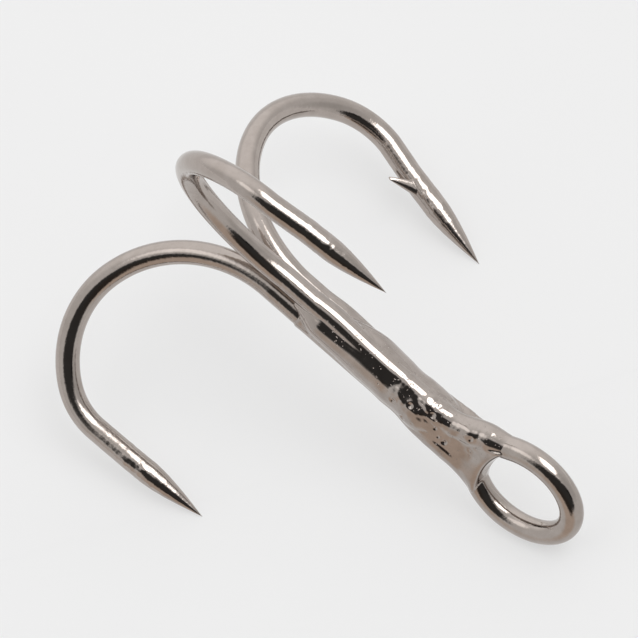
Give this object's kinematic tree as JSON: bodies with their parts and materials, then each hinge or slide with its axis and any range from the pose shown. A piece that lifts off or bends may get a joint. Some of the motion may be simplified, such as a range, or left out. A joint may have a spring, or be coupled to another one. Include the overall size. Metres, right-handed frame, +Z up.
{
  "type": "treble hook",
  "caption": "Treble fishing hook of round plated wire: curved hooks spread evenly round a brazed shank, with an oval line eye at its end.",
  "frame": {"origin": "bottom centre of the box round the hook as it lies on two of its bends and on its eye", "axes": "+Z up, +X along the ground in the shank's direction toward the eye, +Y toward the barbed hook"},
  "size_m": [0.0218, 0.0178, 0.0172],
  "materials": {
    "plated_wire": "polished black nickel plate",
    "plated_braze": "satin black nickel plate over lumpy braze"
  },
  "bodies": {
    "root": {"double_hook": "plated_wire", "single_hook": "plated_wire", "braze": "plated_braze"}
  },
  "joints": []
}
